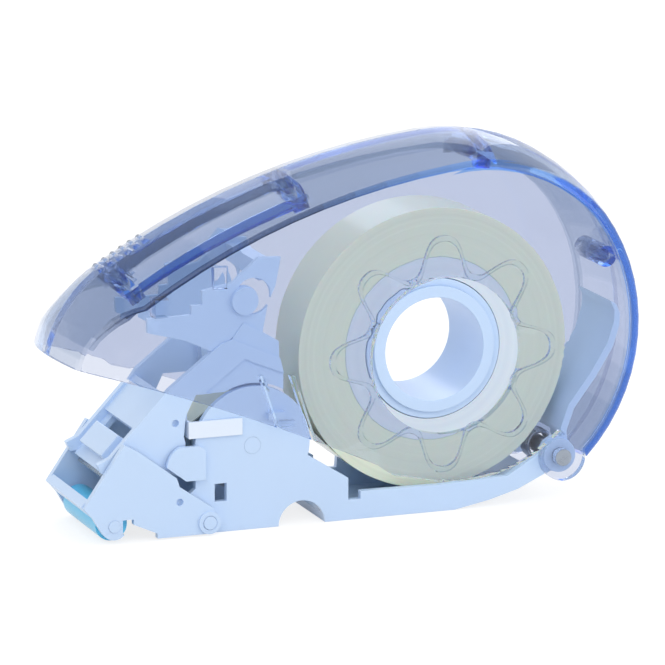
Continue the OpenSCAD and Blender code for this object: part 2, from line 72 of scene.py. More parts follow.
class Slot(Enum):
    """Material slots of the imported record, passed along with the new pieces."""

    WHITE = "white_plastic"
    CLEAR = "clear_blue"
    TAPE = "tape"
    CORE = "core_plastic"
    BLUE_RUBBER = "blue_rubber"
    GREY_RUBBER = "grey_rubber"


def mm(x: float, y: float, z: float) -> Vector:
    """A point given in millimetres, in metres."""
    return Vector((x, y, z)) * MM


def centre_of(node: str) -> Vector:
    """Middle of a CAD node's box, in metres."""
    low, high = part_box(node)
    return (low + high) / 2


def opaque(colour: Colour) -> tuple[float, float, float, float]:
    """A colour with full alpha."""
    return (*colour, 1.0)


def start_material(name: str) -> tuple[bpy.types.Material, bpy.types.ShaderNode]:
    """Starts a node material.

    Args:
        name: Name of the material.

    Returns:
        The material and its Principled shader.
    """
    material = bpy.data.materials.new(name)
    material.use_nodes = True
    return material, material.node_tree.nodes["Principled BSDF"]


def math_node(
    tree: bpy.types.NodeTree, operation: str, values: dict[int, float] | None = None
) -> bpy.types.ShaderNodeMath:
    """Adds a math node.

    Args:
        tree: Node tree that gets the node.
        operation: Name of the operation.
        values: Constants by the number of their input.

    Returns:
        The new node.
    """
    made = tree.nodes.new("ShaderNodeMath")
    made.operation = operation
    for index, value in (values or {}).items():
        made.inputs[index].default_value = value
    return made


def bump_node(
    tree: bpy.types.NodeTree, strength: float, height: float
) -> bpy.types.ShaderNodeBump:
    """Adds a bump node.

    Args:
        tree: Node tree that gets the node.
        strength: Strength of the bump.
        height: Height of the bump in millimetres.

    Returns:
        The new node.
    """
    made = tree.nodes.new("ShaderNodeBump")
    made.inputs["Strength"].default_value = strength
    made.inputs["Distance"].default_value = height * MM
    return made


class Groups:
    """Shader node groups that several finishes share, each built once.

    The constants are the detail and scale of the noise in the groups.
    """

    GRAIN = "moulded_grain"
    RINGS = "wound_rings"
    FLOW_DETAIL = 3.0
    FINE_DETAIL = 2.0
    FINE_SCALE = 2600.0
    LAYER_DETAIL = 4.0
    LAYER_ROUGHNESS = 0.7

    @staticmethod
    def _start(
        name: str,
        inputs: tuple[tuple[str, str, float | None], ...],
        outputs: tuple[tuple[str, str], ...],
    ) -> bpy.types.ShaderNodeTree:
        """Makes a shader group with its sockets.

        Args:
            name: Name of the group.
            inputs: Name, socket type and default value of each input.
            outputs: Name and socket type of each output.

        Returns:
            The new node tree.
        """
        tree = bpy.data.node_groups.new(name, "ShaderNodeTree")
        socket = tree.interface.new_socket
        for label, kind, value in inputs:
            made = socket(label, in_out="INPUT", socket_type=f"NodeSocket{kind}")
            if value is not None:
                made.default_value = value
        for label, kind in outputs:
            socket(label, in_out="OUTPUT", socket_type=f"NodeSocket{kind}")
        return tree

    @classmethod
    def grain(cls) -> bpy.types.ShaderNodeTree:
        """Faint flow marks of a moulded surface.

        Returns:
            A group that puts out a varied colour, a roughness and a bump height.
        """
        found = bpy.data.node_groups.get(cls.GRAIN)
        if found:
            return found
        tree = cls._start(
            cls.GRAIN,
            inputs=(
                ("Color", "Color", None),
                ("Flow Scale", "Float", 60.0),
                ("Mottle", "Float", 0.04),
                ("Roughness", "Float", 0.35),
                ("Roughness Spread", "Float", 0.08),
            ),
            outputs=(("Color", "Color"), ("Roughness", "Float"), ("Height", "Float")),
        )
        add, link = tree.nodes.new, tree.links.new
        given = add("NodeGroupInput")
        made = add("NodeGroupOutput")
        where = add("ShaderNodeTexCoord")
        flow = add("ShaderNodeTexNoise")
        flow.inputs["Detail"].default_value = cls.FLOW_DETAIL
        link(where.outputs["Object"], flow.inputs["Vector"])
        link(given.outputs["Flow Scale"], flow.inputs["Scale"])
        fine = add("ShaderNodeTexNoise")
        fine.inputs["Scale"].default_value = cls.FINE_SCALE
        fine.inputs["Detail"].default_value = cls.FINE_DETAIL
        link(where.outputs["Object"], fine.inputs["Vector"])
        centred = math_node(tree, "SUBTRACT", {1: 0.5})
        link(flow.outputs["Fac"], centred.inputs[0])
        amount = math_node(tree, "MULTIPLY")
        link(centred.outputs[0], amount.inputs[0])
        link(given.outputs["Mottle"], amount.inputs[1])
        gain = math_node(tree, "ADD", {1: 1.0})
        link(amount.outputs[0], gain.inputs[0])
        tint = add("ShaderNodeVectorMath")
        tint.operation = "SCALE"
        link(given.outputs["Color"], tint.inputs["Vector"])
        link(gain.outputs[0], tint.inputs["Scale"])
        link(tint.outputs["Vector"], made.inputs["Color"])
        rough = math_node(tree, "MULTIPLY_ADD")
        link(centred.outputs[0], rough.inputs[0])
        link(given.outputs["Roughness Spread"], rough.inputs[1])
        link(given.outputs["Roughness"], rough.inputs[2])
        link(rough.outputs[0], made.inputs["Roughness"])
        link(fine.outputs["Fac"], made.inputs["Height"])
        return tree

    @classmethod
    def rings(cls) -> bpy.types.ShaderNodeTree:
        """Rings around an axis across the width, as wound layers or turning marks.

        Returns:
            A group that puts out a ring mask from 0 to 1.
        """
        found = bpy.data.node_groups.get(cls.RINGS)
        if found:
            return found
        tree = cls._start(
            cls.RINGS,
            inputs=(("Axis", "Vector", None), ("Rings Per Metre", "Float", 900.0)),
            outputs=(("Mask", "Float"),),
        )
        add, link = tree.nodes.new, tree.links.new
        given = add("NodeGroupInput")
        made = add("NodeGroupOutput")
        where = add("ShaderNodeTexCoord")
        away = add("ShaderNodeVectorMath")
        away.operation = "SUBTRACT"
        link(where.outputs["Object"], away.inputs[0])
        link(given.outputs["Axis"], away.inputs[1])
        flat = add("ShaderNodeVectorMath")
        flat.operation = "MULTIPLY"
        flat.inputs[1].default_value = (1.0, 0.0, 1.0)
        link(away.outputs["Vector"], flat.inputs[0])
        radius = add("ShaderNodeVectorMath")
        radius.operation = "LENGTH"
        link(flat.outputs["Vector"], radius.inputs[0])
        count = math_node(tree, "MULTIPLY")
        link(radius.outputs["Value"], count.inputs[0])
        link(given.outputs["Rings Per Metre"], count.inputs[1])
        layer = add("ShaderNodeTexNoise")
        layer.noise_dimensions = "1D"
        layer.inputs["Scale"].default_value = 1.0
        layer.inputs["Detail"].default_value = cls.LAYER_DETAIL
        layer.inputs["Roughness"].default_value = cls.LAYER_ROUGHNESS
        link(count.outputs[0], layer.inputs["W"])
        link(layer.outputs["Fac"], made.inputs["Mask"])
        return tree


@dataclass(frozen=True)
class PlasticFinish:
    """An opaque moulded plastic or rubber.

    Attributes:
        name: Name of the material.
        colour: Linear base colour.
        roughness: Mean roughness.
        mottle: Strength of the colour's flow marks.
        flow_scale: Scale of the flow marks.
        bump: Strength of the fine surface grain.
        coat: Weight of a clear gloss on top.
        subsurface: Weight of light that spreads below the surface.

    COAT_ROUGHNESS is the gloss's roughness. SPREAD, how far light spreads, and GRAIN_HEIGHT, the
    height of the surface grain, are in millimetres.
    """

    COAT_ROUGHNESS: ClassVar[float] = 0.08
    SPREAD: ClassVar[float] = 1.6
    GRAIN_HEIGHT: ClassVar[float] = 0.05

    name: str
    colour: Colour
    roughness: float = 0.35
    mottle: float = 0.05
    flow_scale: float = 60.0
    bump: float = 0.05
    coat: float = 0.0
    subsurface: float = 0.0

    def make(self) -> bpy.types.Material:
        """Builds the material.

        Returns:
            The new material.
        """
        material, shader = start_material(self.name)
        tree = material.node_tree
        shader.inputs["Coat Weight"].default_value = self.coat
        shader.inputs["Coat Roughness"].default_value = self.COAT_ROUGHNESS
        shader.inputs["Subsurface Weight"].default_value = self.subsurface
        shader.inputs["Subsurface Scale"].default_value = self.SPREAD * MM
        shader.inputs["Subsurface Radius"].default_value = (1.0, 1.0, 1.0)
        grain = tree.nodes.new("ShaderNodeGroup")
        grain.node_tree = Groups.grain()
        grain.inputs["Color"].default_value = opaque(self.colour)
        grain.inputs["Flow Scale"].default_value = self.flow_scale
        grain.inputs["Mottle"].default_value = self.mottle
        grain.inputs["Roughness"].default_value = self.roughness
        bump = bump_node(tree, self.bump, self.GRAIN_HEIGHT)
        link = tree.links.new
        link(grain.outputs["Color"], shader.inputs["Base Color"])
        link(grain.outputs["Roughness"], shader.inputs["Roughness"])
        link(grain.outputs["Height"], bump.inputs["Height"])
        link(bump.outputs["Normal"], shader.inputs["Normal"])
        return material


@dataclass(frozen=True)
class WoundFinish:
    """Material laid in rings about an axis, such as a roll of tape seen from the side.

    Attributes:
        name: Name of the material.
        light: Linear colour of the light rings.
        dark: Linear colour of the dark rings.
        axis: Node whose box centre lies on the axis.
        rings_per_metre: How close the rings lie.
        roughness: Roughness of the surface.
        coat: Weight of a clear gloss on top.
        subsurface: Weight of light that spreads below the surface.

    The ring mask is dark up to DARK_END and light from LIGHT_START. BUMP is the strength of the
    rings' bump. SPREAD, how far light spreads, and RING_HEIGHT, the height of the rings, are in
    millimetres.
    """

    DARK_END: ClassVar[float] = 0.3
    LIGHT_START: ClassVar[float] = 0.7
    BUMP: ClassVar[float] = 0.15
    SPREAD: ClassVar[float] = 1.5
    RING_HEIGHT: ClassVar[float] = 0.1

    name: str
    light: Colour
    dark: Colour
    axis: str
    rings_per_metre: float
    roughness: float = 0.3
    coat: float = 0.0
    subsurface: float = 0.0

    def make(self) -> bpy.types.Material:
        """Builds the material.

        Returns:
            The new material.
        """
        material, shader = start_material(self.name)
        tree = material.node_tree
        shader.inputs["Roughness"].default_value = self.roughness
        shader.inputs["Coat Weight"].default_value = self.coat
        shader.inputs["Subsurface Weight"].default_value = self.subsurface
        shader.inputs["Subsurface Scale"].default_value = self.SPREAD * MM
        rings = tree.nodes.new("ShaderNodeGroup")
        rings.node_tree = Groups.rings()
        rings.inputs["Axis"].default_value = centre_of(self.axis)
        rings.inputs["Rings Per Metre"].default_value = self.rings_per_metre
        ramp = tree.nodes.new("ShaderNodeValToRGB")
        low, high = ramp.color_ramp.elements
        low.position, low.color = self.DARK_END, opaque(self.dark)
        high.position, high.color = self.LIGHT_START, opaque(self.light)
        bump = bump_node(tree, self.BUMP, self.RING_HEIGHT)
        link = tree.links.new
        link(rings.outputs["Mask"], ramp.inputs["Fac"])
        link(ramp.outputs["Color"], shader.inputs["Base Color"])
        link(rings.outputs["Mask"], bump.inputs["Height"])
        link(bump.outputs["Normal"], shader.inputs["Normal"])
        return material


@dataclass(frozen=True)
class SteelFinish:
    """Bright steel with fine grinding marks.

    Attributes:
        name: Name of the material.
        colour: Linear base colour.
        roughness: Mean roughness.
        stretch: Scale of the grinding marks along each axis.

    DARK and BRIGHT are the marks' shares of the colour, DETAIL is their noise's detail and SPREAD
    is the span of the roughness.
    """

    DARK: ClassVar[float] = 0.8
    BRIGHT: ClassVar[float] = 1.2
    DETAIL: ClassVar[float] = 3.0
    SPREAD: ClassVar[float] = 0.2

    name: str
    colour: Colour = (0.32, 0.36, 0.42)
    roughness: float = 0.3
    stretch: tuple[float, float, float] = (900.0, 90.0, 900.0)

    def make(self) -> bpy.types.Material:
        """Builds the material.

        Returns:
            The new material.
        """
        material, shader = start_material(self.name)
        tree = material.node_tree
        shader.inputs["Metallic"].default_value = 1.0
        where = tree.nodes.new("ShaderNodeTexCoord")
        turn = tree.nodes.new("ShaderNodeMapping")
        turn.inputs["Scale"].default_value = self.stretch
        marks = tree.nodes.new("ShaderNodeTexNoise")
        marks.inputs["Scale"].default_value = 1.0
        marks.inputs["Detail"].default_value = self.DETAIL
        tone = tree.nodes.new("ShaderNodeValToRGB")
        for stop, share in zip(tone.color_ramp.elements, (self.DARK, self.BRIGHT)):
            stop.color = (*(share * c for c in self.colour), 1.0)
        least = self.roughness - self.SPREAD / 2
        rough = math_node(tree, "MULTIPLY_ADD", {1: self.SPREAD, 2: least})
        link = tree.links.new
        link(where.outputs["Object"], turn.inputs["Vector"])
        link(turn.outputs["Vector"], marks.inputs["Vector"])
        link(marks.outputs["Fac"], tone.inputs["Fac"])
        link(tone.outputs["Color"], shader.inputs["Base Color"])
        link(marks.outputs["Fac"], rough.inputs[0])
        link(rough.outputs[0], shader.inputs["Roughness"])
        return material


@dataclass(frozen=True)
class ClearFinish:
    """Clear tinted plastic that deepens in colour where it is thick and along its edges, with
    painted shade in the dark line of its rounded edge.

    Attributes:
        name: Name of the material.
        surface: Linear colour of light that passes one wall.
        roof: Linear colour of light that passes the roof.
        edge: Painted shade: linear colour of the dark line along the long edge beside the roof,
            where refraction darkens the rounded plastic.
        band: Linear colour of light that passes the edge's rear part.
        thick: Linear colour of light that passes a thick place, such as a block or a rib.
        depth: Linear colour that the plastic lets through.
        density: How strongly thickness deepens the colour, per metre.
        roughness: Mean roughness of the polished surface.
        ior: Index of refraction.
        coat: Weight of the gloss.
        bounces: Light that has met more faces than this goes straight on.
        lost: Linear colour of light that goes straight on through a face.

    COAT_ROUGHNESS is the gloss's roughness. MOTTLE and SPREAD are how much colour and roughness
    vary. A mirrored ray counts as MIRROR_COUNT faces.
    """

    COAT_ROUGHNESS: ClassVar[float] = 0.02
    MOTTLE: ClassVar[float] = 0.01
    SPREAD: ClassVar[float] = 0.03
    MIRROR_COUNT: ClassVar[float] = 2.0

    name: str
    surface: Colour = (0.725, 0.745, 0.83)
    roof: Colour = (0.365, 0.43, 0.555)
    edge: Colour = (0.035, 0.06, 0.14)
    band: Colour = (0.13, 0.35, 0.90)
    thick: Colour = (0.03, 0.17, 0.80)
    depth: Colour = (0.20, 0.50, 0.867)
    density: float = 55.0
    roughness: float = 0.02
    ior: float = 1.12
    coat: float = 0.6
    bounces: float = 6.5
    lost: Colour = (0.66, 0.75, 0.90)

    def make(self) -> bpy.types.Material:
        """Builds the material.

        Returns:
            The new material.
        """
        material, shader = start_material(self.name)
        tree = material.node_tree
        shader.inputs["Transmission Weight"].default_value = 1.0
        shader.inputs["IOR"].default_value = self.ior
        shader.inputs["Coat Weight"].default_value = self.coat
        shader.inputs["Coat Roughness"].default_value = self.COAT_ROUGHNESS
        depth_and_shade = tree.nodes.new("ShaderNodeAttribute")
        depth_and_shade.attribute_name = ClearHalf.DEPTH_AND_EDGE_SHADE
        tint = tree.nodes.new("ShaderNodeValToRGB")
        stops = tint.color_ramp.elements
        stops[0].color = opaque(self.surface)
        stops[1].color = opaque(self.thick)
        stops.new(ClearHalf.ROOF).color = opaque(self.roof)
        # The edge stop is painted shade: a near-black line along the rounded edge, standing in for
        # the darkness that refraction gives it.
        stops.new(ClearHalf.EDGE).color = opaque(self.edge)
        stops.new(ClearHalf.BAND).color = opaque(self.band)
        grain = tree.nodes.new("ShaderNodeGroup")
        grain.node_tree = Groups.grain()
        grain.inputs["Mottle"].default_value = self.MOTTLE
        grain.inputs["Roughness"].default_value = self.roughness
        grain.inputs["Roughness Spread"].default_value = self.SPREAD
        path = tree.nodes.new("ShaderNodeLightPath")
        either = math_node(tree, "MAXIMUM")
        turns = math_node(tree, "MULTIPLY_ADD", {1: self.MIRROR_COUNT})
        trapped = math_node(tree, "GREATER_THAN", {1: self.bounces})
        passed = math_node(tree, "MAXIMUM")
        straight = tree.nodes.new("ShaderNodeValToRGB")
        straight.color_ramp.elements[0].color = opaque(WHITE)
        straight.color_ramp.elements[1].color = opaque(self.lost)
        through = tree.nodes.new("ShaderNodeBsdfTransparent")
        mixed = tree.nodes.new("ShaderNodeMixShader")
        absorb = tree.nodes.new("ShaderNodeVolumeAbsorption")
        absorb.inputs["Color"].default_value = opaque(self.depth)
        absorb.inputs["Density"].default_value = self.density
        out = tree.nodes["Material Output"]
        link = tree.links.new
        link(depth_and_shade.outputs["Fac"], tint.inputs["Fac"])
        link(tint.outputs["Color"], grain.inputs["Color"])
        link(grain.outputs["Color"], shader.inputs["Base Color"])
        link(grain.outputs["Roughness"], shader.inputs["Roughness"])
        link(path.outputs["Is Shadow Ray"], either.inputs[0])
        link(path.outputs["Is Diffuse Ray"], either.inputs[1])
        link(path.outputs["Glossy Depth"], turns.inputs[0])
        link(path.outputs["Transmission Depth"], turns.inputs[2])
        link(turns.outputs[0], trapped.inputs[0])
        link(trapped.outputs[0], straight.inputs["Fac"])
        link(straight.outputs["Color"], through.inputs["Color"])
        link(either.outputs[0], passed.inputs[0])
        link(trapped.outputs[0], passed.inputs[1])
        link(passed.outputs[0], mixed.inputs["Fac"])
        link(shader.outputs["BSDF"], mixed.inputs[1])
        link(through.outputs["BSDF"], mixed.inputs[2])
        link(mixed.outputs["Shader"], out.inputs["Surface"])
        link(absorb.outputs["Volume"], out.inputs["Volume"])
        return material


def dress(node: str, material: bpy.types.Material) -> None:
    """Gives a CAD node that stays as it is a finish.

    Args:
        node: Name of the CAD node.
        material: Material that fills the node's slots.
    """
    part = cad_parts[node]
    part.data.materials.clear()
    part.data.materials.append(material)
    log.info("dressed %s with %s", node, material.name)


@dataclass
class Moulding:
    """A copy of a CAD node with its edges eased, which stands for the node.

    Attributes:
        node: Name of the CAD node.
        body: Body that the piece rides on.
        slot: Material slot of the piece; not used.
        ease: Width of the eased edges in millimetres, 0 for none.
        corner: Edges sharper than this many degrees are eased.
        flat: Faces closer than this many degrees count as one flat face.

    Points closer than MERGE, in millimetres, become one. EASE_SEGMENTS is how many faces round an
    eased edge.
    """

    MERGE: ClassVar[float] = 0.002
    EASE_SEGMENTS: ClassVar[int] = 2

    node: str
    body: Body
    slot: Slot
    ease: float = 0.2
    corner: float = 32.0
    flat: float = 0.6

    def build(self, material: bpy.types.Material) -> bpy.types.Object:
        """Makes the piece and puts it in the node's place.

        Args:
            material: Finish of the piece.

        Returns:
            The new object.
        """
        mesh = self._mesh()
        mesh.materials.append(material)
        piece = bpy.data.objects.new(f"{self.node}_piece", mesh)
        bpy.context.scene.collection.objects.link(piece)
        even = piece.modifiers.new("even_normals", "WEIGHTED_NORMAL")
        even.mode = "FACE_AREA"
        even.keep_sharp = True
        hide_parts(self.node)
        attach(piece, self.body.value)
        log.info("built %s, %d faces", piece.name, len(mesh.polygons))
        return piece

    def _mesh(self) -> bpy.types.Mesh:
        """Copies the node's mesh, merges it and eases its edges.

        Returns:
            The finished mesh, shaded smooth between its corners.
        """
        bm = bmesh.new()
        bm.from_mesh(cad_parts[self.node].data)
        bmesh.ops.remove_doubles(bm, verts=bm.verts, dist=self.MERGE * MM)
        self._shape(bm)
        if self.ease:
            self._flatten(bm)
            sharp = [
                e
                for e in bm.edges
                if len(e.link_faces) == 2 and e.calc_face_angle() > math.radians(self.corner)
            ]
            self._bevel(bm, sharp, self.ease, self.EASE_SEGMENTS)
        for face in bm.faces:
            face.smooth = True
        mesh = bpy.data.meshes.new(f"{self.node}_mesh")
        bm.to_mesh(mesh)
        bm.free()
        mesh.set_sharp_from_angle(angle=math.radians(self.corner))
        return mesh

    def _shape(self, bm: bmesh.types.BMesh) -> None:
        """Does further work on the merged mesh before its edges are eased."""

    def _flatten(self, bm: bmesh.types.BMesh) -> None:
        """Joins the faces that count as one flat face."""
        bmesh.ops.dissolve_limit(
            bm, angle_limit=math.radians(self.flat), verts=bm.verts, edges=bm.edges
        )

    @staticmethod
    def _bevel(
        bm: bmesh.types.BMesh, edges: list[bmesh.types.BMEdge], width: float, segments: int
    ) -> None:
        """Bevels some edges of a mesh.

        Args:
            bm: The mesh.
            edges: Edges to bevel.
            width: Width of the bevel in millimetres.
            segments: Number of faces across the bevel.
        """
        bmesh.ops.bevel(
            bm,
            geom=edges,
            offset=width * MM,
            offset_type="OFFSET",
            affect="EDGES",
            segments=segments,
            profile=0.5,
            material=-1,
            clamp_overlap=True,
        )


@dataclass
class ClearHalf(Moulding):
    """A clear half of the cover, which knows where its plastic is thick and where its rounded edge
    takes painted shade.

    Attributes:
        half_width: Half the width of the cover in millimetres.
        wall: Thickness of the wall in millimetres.
        inner: Half the width of the space that the roof's blocks and ribs reach, in millimetres.
        nose_tip: Place along the length where the painted shade of the roof's edge starts, in
            millimetres.
        nose_end: Place along the length from which the edge's painted shade shows in full, in
            millimetres.
        line_end: Place along the length where the edge's painted shade starts to turn into the
            rear band.
        rear_start: Place along the length from which the edge is the rear band.
        strength: How strongly the thick places and the edge's painted shade show.
    """

    # The attribute that carries the marks, and the marks of the roof, the painted shade of its
    # edge and the rear band.
    DEPTH_AND_EDGE_SHADE: ClassVar[str] = "plastic_depth_and_edge_shade"
    ROOF: ClassVar[float] = 0.3
    EDGE: ClassVar[float] = 0.5
    BAND: ClassVar[float] = 0.7
    # A face whose normal points sideways by this much belongs to a side wall.
    SIDEWAYS: ClassVar[float] = 0.75
    # The roof's mark grows with how far a normal points up or down, from none to full.
    ROOF_NONE: ClassVar[float] = 0.1
    ROOF_FULL: ClassVar[float] = 0.5
    # Thick places start this far from the halves' joint, and don't look up more than UPWARD.
    JOINT_GAP: ClassVar[float] = 0.2
    UPWARD: ClassVar[float] = 0.35
    # Blocks and ribs are thicker than this many walls. Rays start this far below a face.
    BLOCK_WALLS: ClassVar[float] = 2.0
    RIB_WALLS: ClassVar[float] = 1.5
    RAY_INSET: ClassVar[float] = 0.01
    # Width of the edge's outer and inner round, and how far sideways its normals point.
    OUTER_ROUND: ClassVar[float] = 1.3
    INNER_ROUND: ClassVar[float] = 0.45
    ROUND_FROM: ClassVar[float] = 0.6
    ROUND_TO: ClassVar[float] = 0.985

    ease: float = 0.0
    half_width: float = 12.9
    wall: float = 1.6
    inner: float = 8.1
    nose_tip: float = -65.0
    nose_end: float = -58.0
    line_end: float = -24.0
    rear_start: float = 6.0
    strength: float = 1.0

    def _shape(self, bm: bmesh.types.BMesh) -> None:
        """Marks the roof, the thick places (blocks and ribs) and the roof's edge, whose dark line
        is painted shade that turns into the rear band.

        Args:
            bm: Merged mesh of the half.
        """
        bm.normal_update()
        solid = BVHTree.FromBMesh(bm)
        mark = bm.loops.layers.float.new(self.DEPTH_AND_EDGE_SHADE)
        for face in bm.faces:
            # The rounded edge gets painted shade: a dark line standing in for the darkness that
            # refraction gives it, turning into the rear band towards the back.
            if self._on_edge(face):
                depth = self.strength * self._edge_shade_mark(face.calc_center_median().x / MM)
            elif self._is_thick(face, solid):
                depth = self.strength
            elif abs(face.normal.y) < self.SIDEWAYS:
                depth = self.ROOF * self._share(abs(face.normal.z), self.ROOF_NONE, self.ROOF_FULL)
            else:
                depth = 0.0
            for loop in face.loops:
                loop[mark] = depth

    @staticmethod
    def _share(value: float, start: float, end: float) -> float:
        """How far a value has come from a start to an end, from 0 to 1."""
        return min(1.0, max(0.0, (value - start) / (end - start)))

    def _edge_shade_mark(self, x: float) -> float:
        """How dark the painted shade of the roof's edge shows at a place along the length.

        Args:
            x: Place along the length in millimetres.

        Returns:
            The mark, which grows from the nose and turns into the rear band.
        """
        full = self._share(x, self.nose_tip, self.nose_end)
        turned = self._share(x, self.line_end, self.rear_start)
        return self.ROOF + (self.EDGE - self.ROOF) * full + (self.BAND - self.EDGE) * turned

    def _is_thick(self, face: bmesh.types.BMFace, solid: BVHTree) -> bool:
        """Tells whether a face under the roof belongs to a block or to a rib's outer side.

        Args:
            face: A face of the half.
            solid: The half's faces, for rays.

        Returns:
            True where the plastic behind the face is thick.
        """
        at = face.calc_center_median()
        if not self.JOINT_GAP * MM < abs(at.y) < self.inner * MM or face.normal.z > self.UPWARD:
            return False
        *_, distance = solid.ray_cast(at - face.normal * self.RAY_INSET * MM, -face.normal)
        thickness = distance / MM if distance else 0.0
        if abs(face.normal.y) < self.SIDEWAYS:
            return thickness > self.BLOCK_WALLS * self.wall
        return thickness > self.RIB_WALLS * self.wall and face.normal.y * at.y > 0

    def _on_edge(self, face: bmesh.types.BMFace) -> bool:
        """Tells whether a face is part of the rounded edge between roof and side wall.

        Args:
            face: A face of the half.

        Returns:
            True on the edge's outer or inner round.
        """
        at = face.calc_center_median() / MM
        side = abs(at.y)
        inner_wall = self.half_width - self.wall
        if face.normal.y * at.y > 0:
            here = side > self.half_width - self.OUTER_ROUND
        else:
            here = inner_wall - self.INNER_ROUND < side < inner_wall
        slope = abs(face.normal.y)
        return here and at.x > self.nose_tip and self.ROUND_FROM < slope < self.ROUND_TO


@dataclass
class ChamferedArm(Moulding):
    """The swing arm, whose front corners carry a flat chamfer.

    Attributes:
        chamfer: Width of the chamfer in millimetres.

    An edge is chamfered if it lies within SIDE_GAP millimetres of the outer side, between a face
    whose normal points forward past FORWARD and one whose normal points sideways past SIDEWAYS.
    """

    SIDE_GAP: ClassVar[float] = 0.05
    FORWARD: ClassVar[float] = -0.6
    SIDEWAYS: ClassVar[float] = 0.9

    chamfer: float = 0.9

    def _shape(self, bm: bmesh.types.BMesh) -> None:
        """Cuts the chamfer where an outer side meets a face that looks forward.

        Args:
            bm: Merged mesh of the arm.
        """
        self._flatten(bm)
        bm.normal_update()
        reach = max(abs(v.co.y) for v in bm.verts)
        front = [
            e
            for e in bm.edges
            if len(e.link_faces) == 2
            and min(abs(v.co.y) for v in e.verts) > reach - self.SIDE_GAP * MM
            and min(f.normal.x for f in e.link_faces) < self.FORWARD
            and max(abs(f.normal.y) for f in e.link_faces) > self.SIDEWAYS
        ]
        self._bevel(bm, front, self.chamfer, segments=1)


@dataclass(frozen=True)
class Lamp:
    """A soft square lamp that faces the object.

    Attributes:
        name: Name of the lamp.
        at: Place of the lamp in metres.
        size: Side of the lamp in metres.
        power: Power in watts.
        aim: Point that the lamp faces, in millimetres.
    """

    name: str
    at: tuple[float, float, float]
    size: float
    power: float
    aim: tuple[float, float, float] = (-10.0, 0.0, 25.0)

    def build(self) -> None:
        """Adds the lamp to the scene."""
        data = bpy.data.lights.new(self.name, "AREA")
        data.size = self.size
        data.energy = self.power
        lamp = bpy.data.objects.new(self.name, data)
        lamp.location = self.at
        towards = mm(*self.aim) - Vector(self.at)
        lamp.rotation_euler = towards.to_track_quat("-Z", "Y").to_euler()
        bpy.context.scene.collection.objects.link(lamp)


